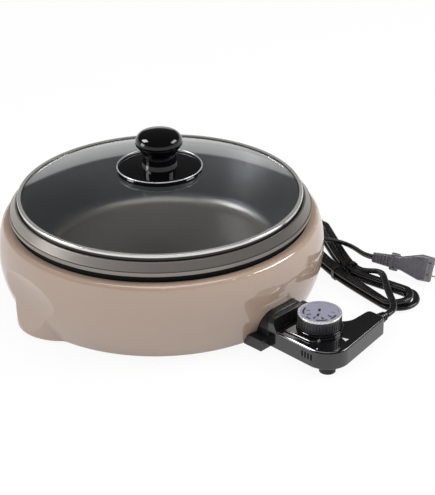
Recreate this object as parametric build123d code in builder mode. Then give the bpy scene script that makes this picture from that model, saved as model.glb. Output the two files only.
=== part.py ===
from build123d import *
import os
from math import atan2, cos, pi, radians, sin, sqrt, tan

os.makedirs("parts", exist_ok=True)

# An electric grill pot: a round housing with a heating ring, a pan that lifts out, a glass lid and a
# control that plugs into the front. Sizes are in millimetres. The origin is on the table under the
# middle of the pot, Z is up and the control is on the -Y side.

# Clearances
overrun = 6.0
seat_gap = 0.3
fit_gap = 0.08
window_gap = 0.4

# Round plan of the housing, which the other radii follow
belly_r = 168.5
base_tuck = 12.5
shoulder_tuck = 6.5
lip_width = 9.5
base_flange = 21.0
housing_base_r = belly_r - base_tuck
housing_top_r = belly_r - shoulder_tuck
housing_lip_r = housing_top_r - lip_width
housing_opening_r = housing_base_r - base_flange

# Feet and base plate
foot_height = 3.8
foot_r = 9.0
foot_inset = 25.0
foot_taper = 25.0
foot_angles = (45, 135, 225, 315)
plate_thickness = 1.2
plate_lap = 8.0
plate_r = housing_opening_r + plate_lap
foot_ring_r = plate_r - foot_inset
vent_length = 30.0
vent_width = 5.0
vent_inset = 51.0
vent_ring_r = plate_r - vent_inset
inner_vent_inset = 36.0
inner_vent_ring_r = vent_ring_r - inner_vent_inset
vent_count = 16
inner_vent_count = 8
base_screw_inset = 4.5
base_screw_ring_r = housing_opening_r + base_screw_inset
base_screw_angles = (30, 150, 210, 330)
base_screw_r = 1.6
base_screw_head_r = 3.2
base_screw_head = 1.5
base_screw_bite = 2.2

# Housing
housing_bottom = foot_height + plate_thickness
housing_height = 79.2
housing_top = housing_bottom + housing_height
belly_drop = 31.2
belly_height = housing_top - belly_drop
belly_rise = belly_height - housing_bottom
housing_wall = 2.8
base_round = 1.5
shoulder_round = 5.0

# Hand grips of the housing, left and right: a low lug under a finger scoop
grip_turn = 6.5
grip_angles = (180 - grip_turn, grip_turn)
lug_r = 48.0
lug_reach = 3.5
lug_front_r = belly_r + lug_reach
lug_flare = 8.0
scoop_r = 63.0
scoop_depth = 5.8
scoop_rise = 37.0
scoop_height = housing_bottom + scoop_rise
scoop_edge_round = 2.0

# Terminals and probe, which set the heights of window, socket and control
terminal_half_spacing = 13.0
terminal_height = 22.0
pin_r = 2.5
pin_reach = 32.0
insulator_r = 4.4
insulator_length = 4.5
probe_r = 3.5
probe_rise = 4.5
probe_height = terminal_height + probe_rise
probe_hole_margin = 0.9
carrier_half_width = 22.4
carrier_drop = 11.4
carrier_low = terminal_height - carrier_drop
carrier_cover = 3.4
carrier_high = probe_height + probe_r + carrier_cover
carrier_reach = 21.5
carrier_corner = 4.6

# Window in the housing for the socket
window_side = 4.6
window_half_width = carrier_half_width + window_side
window_cover = 6.1
window_top = carrier_high + window_cover
window_corner = 15.0
sill_side = 10.5
sill_half_width = window_half_width + sill_side
sill_top = 17.0

# Socket block in the window
block_reach = 6.1
block_front_y = belly_r + block_reach
block_length = 33.6
block_inner_y = block_front_y - block_length
block_back_wall = 11.0
block_cavity_corner = 5.0
block_tongue_length = 23.0
block_tongue_y = block_inner_y - block_tongue_length
block_tongue = 6.0
block_sill_length = 22.6
block_sill_y = block_front_y - block_sill_length
block_edge_round = 1.2

# Guard ring between housing and pan
guard_gap = 1.5
guard_r = housing_lip_r - guard_gap
guard_wall = 3.8
guard_inner_r = guard_r - guard_wall
guard_rise = 9.6
guard_hold = 5.0
guard_flange_r = housing_lip_r + guard_hold
guard_flange = 2.5
guard_flange_top = housing_top - housing_wall
guard_flange_low = guard_flange_top - guard_flange
guard_top = guard_flange_top + guard_rise

# Reflector dish and its posts
reflector_sheet = 0.8
reflector_floor = 15.0
reflector_rim_gap = 0.8
reflector_rim_r = guard_inner_r - reflector_rim_gap
reflector_run = 20.4
reflector_floor_r = reflector_rim_r - reflector_run
reflector_flange_inset = 1.0
reflector_flange_r = guard_flange_r - reflector_flange_inset
reflector_bend = 5.0
reflector_hole_margin = 0.8
post_r = 5.0
post_inset = 56.0
post_ring_r = reflector_floor_r - post_inset
post_angles = (30, 150, 270)

# Pan
pan_overhang = 4.0
pan_flange_r = guard_r + pan_overhang
pan_band = 4.0
pan_groove = 0.7
pan_groove_depth = 1.6
pan_slope_inset = 0.8
pan_slope_r = pan_flange_r - pan_slope_inset
pan_slope_run = 5.5
pan_rim_r = pan_slope_r - pan_slope_run
pan_rim_wall = 1.7
pan_rim_inner_r = pan_rim_r - pan_rim_wall
pan_rim_rise = 12.1
pan_rim_round = 0.5
pan_ledge_drop = 3.2
pan_ledge_width = 4.6
pan_ledge_r = pan_rim_inner_r - pan_ledge_width
pan_wall = 4.0
pan_side_run = 20.4
pan_floor_r = pan_ledge_r - pan_side_run
pan_floor_round = 16.0
pan_side_wall = 3.0
pan_under_r = pan_floor_r + pan_side_wall
pan_under_round = 20.0
pan_neck_gap = 2.4
pan_neck_r = guard_inner_r - pan_neck_gap
heater_room = 20.0
pan_under = reflector_floor + heater_room
pan_floor = pan_under + pan_wall
pan_rim_top = guard_top + pan_rim_rise
pan_ledge = pan_rim_top - pan_ledge_drop

# Heating ring and its supports
heater_r = 4.0
heater_inset = 33.0
heater_ring_r = pan_under_r - heater_inset
heater_bend = 10.0
heater_height = pan_under - seat_gap - heater_r
leg_bend = 12.0
leg_end_y = block_inner_y - insulator_length
leg_top_y = sqrt((heater_ring_r + heater_bend) ** 2 - (terminal_half_spacing + heater_bend) ** 2)
leg_high_share = 0.2
leg_high_y = leg_top_y + leg_high_share * (leg_end_y - leg_top_y)
leg_low_share = 0.6
leg_low_y = leg_top_y + leg_low_share * (leg_end_y - leg_top_y)
support_angles = (90, 210, 330)
support_width = 15.0
support_thickness = 5.0

# Lid
lid_sheet = 0.9
lid_side_gap = 0.8
lid_rim_r = pan_rim_inner_r - lid_side_gap
lid_lip_width = 3.8
lid_lip_r = lid_rim_r - lid_lip_width
lid_lip = 1.0
lid_shelf_width = 4.4
lid_shelf_r = lid_rim_r - lid_shelf_width
lid_skirt = 1.8
lid_skirt_height = 3.2
lid_rim_round = 0.8
glass_thickness = 4.0
glass_r = lid_rim_r - lid_sheet - seat_gap
glass_rise = 25.5
glass_turn_gap = 0.8
glass_turn_r = lid_shelf_r - glass_turn_gap
glass_play = 0.1
glass_hole_r = 3.6
knob_disc_r = 43.6
knob_disc_edge = 2.6
knob_disc_hub_r = 20.0
knob_disc_seat_r = 10.0
knob_disc_droop = 1.5
knob_disc_height = 3.3
knob_disc_chamfer = 0.7
knob_base_r = 18.6
knob_neck_r = 17.4
knob_neck_low = 4.5
knob_neck_high = 14.6
knob_cap_low = 23.0
knob_cap_r = 23.4
knob_crown_r = 17.0
knob_crown_drop = 2.7
knob_height = 38.2
knob_edge_round = 1.5
knob_screw_r = 2.4
knob_screw_head_r = 4.6
knob_screw_head = 2.6
knob_screw_bite = 14.0
knob_washer_r = 9.0
knob_washer = 1.2

# Control case
case_rear_y = block_front_y + seat_gap
case_rear_half_width = 27.0
case_left = 29.5
case_right = 31.0
case_length = 83.0
case_front_y = case_rear_y + case_length
case_slant = 15.0
tail_reach = 68.0
tail_width = 21.0
tail_end_round = 5.0
tail_y = case_front_y - case_slant - tail_width / 2
front_corner_round = 24.0
elbow_round = 16.0
case_bottom = 7.5
parting_rise = 4.5
parting_height = case_bottom + parting_rise
deck_rise = 14.5
deck_height = parting_height + deck_rise
deck_round = 2.4
case_wall = 2.2
case_under_round = 1.6
hood_cover = 3.6
hood_top = carrier_high + hood_cover
hood_depth = 4.8
hood_foot = 11.5
hood_round = 5.0
hood_cavity_half_width = 18.0
grille_slots = 4
grille_slot_width = 1.8
grille_slot_height = 7.0
grille_pitch = 3.8
grille_inset = 32.9
grille_y = case_front_y - grille_inset
grille_rise = 6.0
grille_height = parting_height + grille_rise
case_boss_r = 4.0
case_screw_r = 1.4
case_screw_head_r = 2.8
case_screw_head = 1.4
case_screw_bite = 9.0
rear_screw_inset = 12.1
side_screw_inset = 7.0
front_screw_inset = 20.9
front_screw_side = 12.5
tail_screw_inset = 21.0
case_screw_spots = (
    (side_screw_inset - case_rear_half_width, -case_rear_y - rear_screw_inset),
    (case_rear_half_width - side_screw_inset, -case_rear_y - rear_screw_inset),
    (front_screw_side - case_left, front_screw_inset - case_front_y),
    (tail_reach - tail_screw_inset, -tail_y),
)
case_foot_inset = 19.9
case_foot_side = 16.5
case_foot_spot = (case_foot_side - case_left, case_foot_inset - case_front_y)
case_foot_r = 8.0

# Contact sleeves, probe and thermostat
sleeve_wall = 1.1
sleeve_reach = 20.5
sleeve_tail = 4.0
probe_reach = 41.0
probe_tip_y = block_inner_y - probe_reach
probe_tail = 4.1
probe_tail_y = case_rear_y + probe_tail
thermostat_length = 28.0
thermostat_width = 26.0
thermostat_room = 2.6
thermostat_low = case_bottom + case_wall
thermostat_height = deck_height - case_wall - thermostat_room - thermostat_low

# Dial, its collar and the raised panel that carries them
dial_x = 7.0
dial_r = 21.4
dial_height = 13.8
dial_gap = 0.4
dial_shell = 3.6
dial_crown = 4.0
dial_hub_r = 7.0
dial_ring_width = 2.6
dial_ring_depth = 1.6
dial_face_drop = 0.5
dial_flutes = 44
dial_flute_r = 0.9
dial_flute_low = 1.4
dial_brow = 3.8
dial_shaft_r = 3.0
dial_shaft_depth = 8.0
dial_shaft_cap = 1.6
collar_margin = 1.4
collar_r = dial_r + collar_margin
collar_rise = 2.6
collar_width = 5.0
collar_round = 1.0
collar_hood_gap = 1.3
dial_y = case_rear_y + hood_foot + collar_hood_gap + collar_r
panel_left_inset = 9.5
panel_left = case_left - panel_left_inset
panel_right_inset = 1.5
panel_right = case_right - panel_right_inset
panel_rise = 1.6
panel_top = deck_height + panel_rise
panel_front = 15.5
panel_front_y = dial_y + panel_front
panel_back = 20.5
panel_back_y = dial_y - panel_back
panel_corner = 7.0
panel_edge_round = 0.8

# Strain relief on the tail
relief_rise = 6.0
relief_height = parting_height + relief_rise
relief_inner_length = 10.0
relief_outer_length = 13.0
relief_neck_r = 4.8
relief_flange_r = 5.4
relief_flange = 2.4
relief_root_r = 6.2
relief_tip_r = 4.4
relief_groove = 1.1
relief_ribs = 4

# Mains cord: free stretches and a tied hank
cord_r = 3.0
corner_share = 0.45
parallel_share = 4e-5
hank_strands = 7
hank_low = 4.2
hank_layer = 6.7
hank_fold_outer = 21.5
hank_fold_step = 8.5
hank_waist_outer = 11.1
hank_waist_step = 7.4
hank_front = (136.0, -203.0)
hank_waist = (141.0, -131.0)
hank_back = (184.0, -44.0)
hank_waist_angle = 72.0
hank_back_angle = 58.0
hank_probe_step = 2.0
tie_width = 5.0
tie_sheet = 0.8
tie_play = 0.3
tie_corner = 3.0
tie_ear_height = 7.0
tie_ear_width = 3.0
tie_ear_spread = 4.0
lead_points = (
    (102.0, -227.0, 18.4),
    (111.5, -216.5, 18.7),
    (124.0, -201.5, 18.8),
    (138.0, -186.5, 18.8),
    (148.0, -176.0, 18.2),
    (151.3, -166.0, 16.0),
    (149.6, -155.8, 13.0),
)
plug_lead_points = (
    (221.0, -25.3, 5.2),
    (217.3, -8.7, 9.0),
    (202.8, 0.3, 13.4),
    (186.3, -3.6, 17.6),
    (176.1, -17.8, 18.3),
    (166.6, -39.8, 18.3),
    (163.6, -62.0, 18.3),
    (166.6, -82.0, 18.3),
    (173.5, -97.0, 18.2),
    (180.5, -110.5, 13.5),
)
first_run = 11.0
last_run = 12.0

# Mains plug, lying on its edge
plug_rear = (183.5, -137.0, 9.2)
plug_ahead = (0.10, -0.988, 0.11)
plug_lean = 30.0
plug_relief_length = 22.0
plug_relief_ribs = 5
plug_relief_width = 11.0
plug_relief_thickness = 8.0
plug_relief_flare = 3.0
plug_relief_groove = 1.6
plug_collar = 4.0
plug_collar_at = 24.0
plug_collar_width = 19.0
plug_collar_thickness = 13.0
plug_neck_at = 36.0
plug_neck_width = 15.0
plug_neck_thickness = 11.5
plug_head_at = 60.0
plug_head_width = 27.5
plug_head_thickness = 15.0
plug_length = 69.0
plug_face_width = 26.5
plug_corner = 3.0
plug_thumb_at = 56.0
plug_thumb_length = 17.0
plug_thumb_width = 18.0
plug_thumb_depth = 0.9
blade_half_spacing = 6.35
blade_length = 17.0
blade_width = 6.3
blade_thickness = 1.5


def save(builder, name):
    """Label a finished piece and write its file."""
    builder.part.label = name
    export_step(builder.part, f"parts/{name}.step")


def outline(*points):
    """Fill a closed outline in the sketch that is being drawn."""
    with BuildLine() as edge:
        Polyline(*points, close=True)
    make_face(edge.edges())


def arch(half_width, low, high, corner):
    """Fill an upright panel with rounded top corners in the sketch that is being drawn."""
    with BuildLine() as edge:
        FilletPolyline(
            (-half_width, low), (-half_width, high), (half_width, high), (half_width, low), radius=corner
        )
        Line((half_width, low), (-half_width, low))
    make_face(edge.edges())


def on_ring(radius, angle, height=0):
    """Point on a circle round the axis of the pot."""
    return Vector(radius * cos(radians(angle)), radius * sin(radians(angle)), height)


def flank_r(height, inset=0):
    """Radius of the housing's bulging flank at a height, less a wall."""
    rise = belly_rise if height < belly_height else housing_top - belly_height
    drop = belly_r - (housing_base_r if height < belly_height else housing_top_r)
    arc_r = (rise**2 + drop**2) / (2 * drop)
    return belly_r - arc_r + sqrt((arc_r - inset) ** 2 - (height - belly_height) ** 2)


def grip_lugs(inset):
    """The two lugs of the hand grips, less a wall."""
    with BuildPart() as lugs:
        for angle in grip_angles:
            with BuildSketch(Plane(on_ring(lug_front_r - lug_r, angle, housing_bottom + inset))):
                Circle(lug_r - inset)
            extrude(amount=scoop_height - housing_bottom - inset)
    return lugs.part


def grip_scoops(margin):
    """Room of the finger scoops over the lugs, grown by a wall: level cylinders along the flank."""
    with BuildPart() as scoops:
        for angle in grip_angles:
            spot = on_ring(belly_r - scoop_depth + scoop_r, angle, scoop_height)
            with BuildSketch(Plane(spot, x_dir=on_ring(1, angle), z_dir=on_ring(1, angle + 90))):
                Circle(scoop_r + margin)
            extrude(amount=belly_r, both=True)
    return scoops.part


# Housing: the bulging outer form with its grips, less a cavity that keeps the wall even
with BuildPart() as housing_form:
    with BuildSketch(Plane.YZ) as form_face:
        with BuildLine():
            belly = (belly_r, belly_height)
            foot_edge = (housing_base_r, housing_bottom)
            Polyline(belly, (0, belly_height), (0, housing_bottom), foot_edge)
            TangentArc(belly, foot_edge, tangent=(0, -1))
        make_face()
        with BuildLine():
            shoulder_edge = (housing_top_r, housing_top)
            Polyline(belly, (0, belly_height), (0, housing_top), shoulder_edge)
            TangentArc(belly, shoulder_edge, tangent=(0, 1))
        make_face()
        fillet(form_face.vertices().sort_by_distance(shoulder_edge)[0], shoulder_round)
    revolve(axis=Axis.Z)
    add(grip_lugs(0))
    lug_walls = housing_form.faces().filter_by(GeomType.CYLINDER)
    fillet(lug_walls.edges().filter_by(GeomType.BSPLINE), lug_flare)
    add(grip_scoops(0), mode=Mode.SUBTRACT)
    scoop_walls = housing_form.faces().filter_by(lambda face: face.radius == scoop_r)
    fillet(scoop_walls.edges(), scoop_edge_round)
    fillet(housing_form.faces().sort_by(Axis.Z)[0].edges(), base_round)

with BuildPart() as housing_cavity:
    floor_top = housing_bottom + housing_wall
    lip_under = housing_top - housing_wall
    with BuildSketch(Plane.YZ):
        with BuildLine():
            Polyline((flank_r(floor_top, housing_wall), floor_top), (0, floor_top), (0, lip_under),
                     (flank_r(lip_under, housing_wall), lip_under))
            inner_belly = (belly_r - housing_wall, belly_height)
            TangentArc(inner_belly, (flank_r(floor_top, housing_wall), floor_top), tangent=(0, -1))
            TangentArc(inner_belly, (flank_r(lip_under, housing_wall), lip_under), tangent=(0, 1))
        make_face()
    revolve(axis=Axis.Z)
    add(grip_lugs(housing_wall))
    add(grip_scoops(housing_wall), mode=Mode.SUBTRACT)

with BuildPart() as housing:
    add(housing_form.part)
    add(housing_cavity.part, mode=Mode.SUBTRACT)
    with BuildSketch(Plane.XY.offset(housing_top - belly_rise)):
        Circle(housing_lip_r)
    extrude(amount=belly_rise + overrun, mode=Mode.SUBTRACT)
    with BuildSketch(Plane.XY):
        Circle(housing_opening_r)
    extrude(amount=belly_height, mode=Mode.SUBTRACT)
    with BuildSketch(Plane.XZ):
        arch(window_half_width, 0, window_top, window_corner)
        with Locations((0, sill_top / 2)):
            Rectangle(2 * sill_half_width, sill_top)
    extrude(amount=belly_r + overrun, mode=Mode.SUBTRACT)
    for angle in base_screw_angles:
        with BuildSketch(Plane(on_ring(base_screw_ring_r, angle))):
            Circle(base_screw_r + fit_gap)
        extrude(amount=housing_bottom + housing_wall + overrun, mode=Mode.SUBTRACT)
save(housing, "housing")

# Base plate with two rings of vent slots, four feet and the screws that hold the plate
with BuildPart() as base_plate:
    with BuildSketch(Plane.XY.offset(foot_height)):
        Circle(plate_r)
        with PolarLocations(vent_ring_r, vent_count):
            SlotOverall(vent_length, vent_width, mode=Mode.SUBTRACT)
        with PolarLocations(inner_vent_ring_r, inner_vent_count, start_angle=180 / inner_vent_count):
            SlotOverall(vent_length / 2, vent_width, mode=Mode.SUBTRACT)
        for angle in base_screw_angles:
            with Locations(on_ring(base_screw_ring_r, angle)):
                Circle(base_screw_r + fit_gap, mode=Mode.SUBTRACT)
    extrude(amount=plate_thickness)
save(base_plate, "base_plate")

for number, angle in enumerate(foot_angles, 1):
    with BuildPart() as foot:
        with BuildSketch(Plane(on_ring(foot_ring_r, angle))):
            Circle(foot_r)
        extrude(amount=foot_height, taper=-foot_taper)
    save(foot, f"foot_{number}")

with BuildPart() as base_screws:
    for angle in base_screw_angles:
        with BuildSketch(Plane(on_ring(base_screw_ring_r, angle, foot_height - base_screw_head))):
            Circle(base_screw_head_r)
        extrude(amount=base_screw_head)
        with BuildSketch(Plane(on_ring(base_screw_ring_r, angle, foot_height - base_screw_head))):
            Circle(base_screw_r)
        extrude(amount=base_screw_head + plate_thickness + base_screw_bite)
save(base_screws, "base_screws")

# Guard ring: its flange is held under the lip of the housing and its top carries the pan
with BuildPart() as guard_ring:
    with BuildSketch(Plane.XZ):
        outline(
            (guard_inner_r, guard_flange_low),
            (guard_flange_r, guard_flange_low),
            (guard_flange_r, guard_flange_top),
            (guard_r, guard_flange_top),
            (guard_r, guard_top),
            (guard_inner_r, guard_top),
        )
    revolve(axis=Axis.Z)
save(guard_ring, "guard_ring")

# Reflector dish, with holes for the legs of the heating ring and for the probe
with BuildPart() as reflector:
    with BuildSketch(Plane.XZ) as reflector_face:
        outline(
            (0, reflector_floor - reflector_sheet),
            (reflector_floor_r + reflector_sheet / 2, reflector_floor - reflector_sheet),
            (reflector_rim_r + reflector_sheet, guard_flange_low - reflector_sheet),
            (reflector_flange_r, guard_flange_low - reflector_sheet),
            (reflector_flange_r, guard_flange_low),
            (reflector_rim_r, guard_flange_low),
            (reflector_floor_r - reflector_sheet / 2, reflector_floor),
            (0, reflector_floor),
        )
        bends = reflector_face.vertices().filter_by(
            lambda corner: housing_opening_r > corner.X > heater_ring_r
        )
        fillet(bends.sort_by(Axis.Y)[0], reflector_bend + reflector_sheet)
        bends = reflector_face.vertices().filter_by(lambda corner: corner.Y == reflector_floor)
        fillet(bends.sort_by(Axis.X)[-1], reflector_bend)
    revolve(axis=Axis.Z)
    with BuildSketch(Plane.XZ.offset(leg_high_y)):
        for side in (-1, 1):
            with Locations((side * terminal_half_spacing, terminal_height)):
                Circle(heater_r + reflector_hole_margin)
        with Locations((0, probe_height)):
            Circle(probe_r + probe_hole_margin)
    extrude(amount=leg_end_y - leg_high_y, mode=Mode.SUBTRACT)
save(reflector, "reflector")

for number, angle in enumerate(post_angles, 1):
    with BuildPart() as post:
        with BuildSketch(Plane(on_ring(post_ring_r, angle, housing_bottom))):
            Circle(post_r)
        extrude(amount=reflector_floor - reflector_sheet - housing_bottom)
    save(post, f"reflector_post_{number}")

# Heating ring: half a path from one leg to the rear, mirrored
bend_centre = Vector(terminal_half_spacing + heater_bend, -leg_top_y, heater_height)
leg_top = Vector(terminal_half_spacing, -leg_top_y, heater_height)
ring_start_angle = atan2(bend_centre.Y, bend_centre.X)
ring_start = Vector(
    heater_ring_r * cos(ring_start_angle), heater_ring_r * sin(ring_start_angle), heater_height
)
with BuildPart() as heater:
    with BuildLine() as heater_path:
        FilletPolyline(
            (terminal_half_spacing, -leg_end_y, terminal_height),
            (terminal_half_spacing, -leg_low_y, terminal_height),
            (terminal_half_spacing, -leg_high_y, heater_height),
            leg_top,
            radius=leg_bend,
        )
        TangentArc(leg_top, ring_start, tangent=(0, 1, 0))
        ThreePointArc(ring_start, (heater_ring_r, 0, heater_height), (0, heater_ring_r, heater_height))
        mirror(about=Plane.YZ)
    with BuildSketch(Plane.XZ.offset(leg_end_y)):
        with Locations((terminal_half_spacing, terminal_height)):
            Circle(heater_r)
    sweep(path=heater_path.wire())
save(heater, "heater")

for number, angle in enumerate(support_angles, 1):
    support_plane = Plane(
        on_ring(heater_ring_r, angle), x_dir=on_ring(1, angle), z_dir=on_ring(1, angle + 90)
    )
    with BuildPart() as support:
        with BuildSketch(support_plane.offset(-support_thickness / 2)):
            with Locations((0, -(reflector_floor + heater_height) / 2)):
                Rectangle(support_width, heater_height - reflector_floor)
            with Locations((0, -heater_height)):
                Circle(heater_r + seat_gap, mode=Mode.SUBTRACT)
        extrude(amount=support_thickness)
    save(support, f"heater_support_{number}")

with BuildPart() as heater_insulators:
    with BuildSketch(Plane.XZ.offset(leg_end_y)):
        for side in (-1, 1):
            with Locations((side * terminal_half_spacing, terminal_height)):
                Circle(insulator_r)
                Circle(pin_r + fit_gap, mode=Mode.SUBTRACT)
    extrude(amount=insulator_length)
save(heater_insulators, "heater_insulators")

with BuildPart() as terminal_pins:
    with BuildSketch(Plane.XZ.offset(leg_end_y)):
        for side in (-1, 1):
            with Locations((side * terminal_half_spacing, terminal_height)):
                Circle(pin_r)
    extrude(amount=pin_reach)
    tips = terminal_pins.faces().sort_by(Axis.Y)[:2]
    chamfer(tips.edges(), pin_r / 3)
save(terminal_pins, "terminal_pins")

# Socket block: a hollow shroud with a sill at its foot and a tongue that stands on the base plate
with BuildPart() as terminal_block:
    block_half_width = window_half_width - window_gap
    block_top = window_top - window_gap
    with BuildSketch(Plane.XZ.offset(block_inner_y)):
        arch(block_half_width, housing_bottom, block_top, window_corner)
    extrude(amount=block_front_y - block_inner_y)
    sill_half = sill_half_width - window_gap
    with BuildSketch(Plane.XZ.offset(block_sill_y)):
        with Locations((0, (housing_bottom + sill_top - window_gap) / 2)):
            Rectangle(2 * sill_half, sill_top - window_gap - housing_bottom)
    extrude(amount=block_front_y - block_sill_y)
    fillet(terminal_block.faces().sort_by(Axis.Y)[0].edges().filter_by(GeomType.CIRCLE), block_edge_round)
    with BuildSketch(Plane.XZ.offset(block_tongue_y)):
        with Locations((0, housing_bottom + block_tongue / 2)):
            Rectangle(2 * block_half_width, block_tongue)
    extrude(amount=block_inner_y - block_tongue_y)
    with BuildSketch(Plane.XZ.offset(block_inner_y + block_back_wall)):
        with Locations((0, (carrier_low + carrier_high) / 2)):
            RectangleRounded(
                2 * (carrier_half_width + window_gap),
                carrier_high - carrier_low + 2 * window_gap,
                block_cavity_corner,
            )
    extrude(amount=block_front_y - block_inner_y, mode=Mode.SUBTRACT)
    with BuildSketch(Plane.XZ.offset(block_inner_y)):
        for side in (-1, 1):
            with Locations((side * terminal_half_spacing, terminal_height)):
                Circle(pin_r + fit_gap)
        with Locations((0, probe_height)):
            Circle(probe_r + probe_hole_margin)
    extrude(amount=block_back_wall, mode=Mode.SUBTRACT)
save(terminal_block, "terminal_block")

# Pan: one turned section with a two-step rim and a ledge for the lid
with BuildPart() as pan:
    band_top = guard_top + pan_band
    with BuildSketch(Plane.XZ) as pan_face:
        outline(
            (0, pan_under),
            (pan_under_r, pan_under),
            (pan_neck_r, guard_top),
            (pan_flange_r, guard_top),
            (pan_flange_r, band_top),
            (pan_flange_r - pan_groove_depth, band_top),
            (pan_flange_r - pan_groove_depth, band_top + pan_groove),
            (pan_slope_r, band_top + pan_groove),
            (pan_rim_r, pan_rim_top),
            (pan_rim_inner_r, pan_rim_top),
            (pan_rim_inner_r, pan_ledge),
            (pan_ledge_r, pan_ledge),
            (pan_floor_r, pan_floor),
            (0, pan_floor),
        )
        fillet(pan_face.vertices().sort_by_distance((pan_under_r, pan_under))[0], pan_under_round)
        fillet(pan_face.vertices().sort_by_distance((pan_floor_r, pan_floor))[0], pan_floor_round)
        fillet(pan_face.vertices().sort_by_distance((pan_flange_r, guard_top))[0], pan_rim_round)
        fillet(pan_face.vertices().sort_by_distance((pan_rim_r, pan_rim_top))[0], pan_rim_round)
    revolve(axis=Axis.Z)
save(pan, "pan")

# Lid: a folded steel band round a glass dome
band_low = pan_ledge
glass_low = band_low + lid_skirt_height + lid_sheet + glass_play
band_top_height = glass_low + glass_thickness + glass_play + lid_lip
with BuildPart() as lid_rim:
    slot_r = glass_r + seat_gap
    with BuildSketch(Plane.XZ) as band_face:
        outline(
            (lid_rim_r, band_low),
            (lid_rim_r, band_top_height),
            (lid_lip_r, band_top_height),
            (lid_lip_r, glass_low + glass_thickness + glass_play),
            (slot_r, glass_low + glass_thickness + glass_play),
            (slot_r, glass_low - glass_play),
            (lid_shelf_r, glass_low - glass_play),
            (lid_shelf_r, band_low + lid_skirt_height),
            (lid_rim_r - lid_skirt, band_low + lid_skirt_height),
            (lid_rim_r - lid_skirt, band_low),
        )
        fillet(band_face.vertices().sort_by_distance((lid_rim_r, band_top_height))[0], lid_rim_round)
    revolve(axis=Axis.Z)
save(lid_rim, "lid_rim")

dome_r = (glass_turn_r**2 + glass_rise**2) / (2 * glass_rise)
dome_centre = glass_low + glass_rise - dome_r


def dome_height(radius, shell_r):
    """Height of a shell of the glass dome at a distance from the axis."""
    return dome_centre + sqrt(shell_r**2 - radius**2)


def dome_arc(start_r, end_r, shell_r):
    """Arc of a shell of the dome between two distances from the axis."""
    middle_r = (start_r + end_r) / 2
    ThreePointArc(
        (start_r, dome_height(start_r, shell_r)),
        (middle_r, dome_height(middle_r, shell_r)),
        (end_r, dome_height(end_r, shell_r)),
    )


with BuildPart() as lid_glass:
    top_shell_r = dome_r + glass_thickness
    top_turn_r = sqrt(top_shell_r**2 - (glass_low + glass_thickness - dome_centre) ** 2)
    with BuildSketch(Plane.XZ):
        with BuildLine():
            dome_arc(glass_hole_r, glass_turn_r, dome_r)
            Polyline(
                (glass_turn_r, glass_low),
                (glass_r, glass_low),
                (glass_r, glass_low + glass_thickness),
                (top_turn_r, glass_low + glass_thickness),
            )
            dome_arc(top_turn_r, glass_hole_r, top_shell_r)
            Line(
                (glass_hole_r, dome_height(glass_hole_r, top_shell_r)),
                (glass_hole_r, dome_height(glass_hole_r, dome_r)),
            )
        make_face()
    revolve(axis=Axis.Z)
save(lid_glass, "lid_glass")

dome_top = dome_height(glass_hole_r, dome_r + glass_thickness)
disc_top = dome_top + knob_disc_height
with BuildPart() as knob_disc:
    edge_low = dome_top - knob_disc_droop
    with BuildSketch(Plane.XZ) as disc_face:
        outline(
            (knob_screw_r + fit_gap, dome_top),
            (knob_disc_seat_r, dome_top),
            (knob_disc_r, edge_low),
            (knob_disc_r, edge_low + knob_disc_edge),
            (knob_disc_hub_r, disc_top),
            (knob_screw_r + fit_gap, disc_top),
        )
        rim_corner = disc_face.vertices().sort_by_distance((knob_disc_r, edge_low + knob_disc_edge))[0]
        chamfer(rim_corner, knob_disc_chamfer)
    revolve(axis=Axis.Z)
save(knob_disc, "knob_disc")

with BuildPart() as knob:
    knob_top = disc_top + knob_height
    with BuildSketch(Plane.XZ) as knob_face:
        with BuildLine():
            crown = TangentArc((0, knob_top), (knob_crown_r, knob_top - knob_crown_drop), tangent=(1, 0))
            TangentArc(crown @ 1, (knob_cap_r, disc_top + knob_cap_low), tangent=crown % 1)
            Polyline(
                (knob_cap_r, disc_top + knob_cap_low),
                (knob_neck_r, disc_top + knob_neck_high),
                (knob_neck_r, disc_top + knob_neck_low),
                (knob_base_r, disc_top),
                (0, disc_top),
                (0, knob_top),
            )
        make_face()
        for edge_spot in (
            (knob_cap_r, disc_top + knob_cap_low),
            (knob_neck_r, disc_top + knob_neck_high),
        ):
            fillet(knob_face.vertices().sort_by_distance(edge_spot)[0], knob_edge_round)
    revolve(axis=Axis.Z)
    with BuildSketch(Plane.XY.offset(disc_top)):
        Circle(knob_screw_r + fit_gap)
    extrude(amount=knob_screw_bite + fit_gap, mode=Mode.SUBTRACT)
save(knob, "knob")

washer_top = dome_height(knob_washer_r, dome_r)
with BuildPart() as knob_washer_ring:
    with BuildSketch(Plane.XY.offset(washer_top - knob_washer)):
        Circle(knob_washer_r)
        Circle(knob_screw_r + fit_gap, mode=Mode.SUBTRACT)
    extrude(amount=knob_washer)
save(knob_washer_ring, "knob_washer")

with BuildPart() as knob_screw:
    head_low = washer_top - knob_washer - knob_screw_head
    with BuildSketch(Plane.XY.offset(head_low)):
        Circle(knob_screw_head_r)
    extrude(amount=knob_screw_head)
    fillet(knob_screw.faces().sort_by(Axis.Z)[0].edges(), knob_screw_head / 3)
    with BuildSketch(Plane.XY.offset(head_low)):
        Circle(knob_screw_r)
    extrude(amount=disc_top + knob_screw_bite - head_low)
save(knob_screw, "knob_screw")


def case_outline(inset=0):
    """Fill the plan of the control case: a head with a tail to the right, less a wall."""
    with BuildLine() as edge:
        tail_front_y = -case_front_y + case_slant
        corners = [
            (-case_rear_half_width, -case_rear_y),
            (-case_left, -case_front_y),
            (tail_reach, tail_front_y),
            (tail_reach, tail_front_y + tail_width),
            (case_right, tail_front_y + tail_width),
            (case_rear_half_width, -case_rear_y),
        ]
        rounds = [front_corner_round, tail_end_round, tail_end_round, elbow_round]
        FilletPolyline(*corners, radius=rounds)
        Line(corners[-1], corners[0])
    make_face(edge.edges())
    if inset:
        offset(amount=-inset, mode=Mode.REPLACE)


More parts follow.
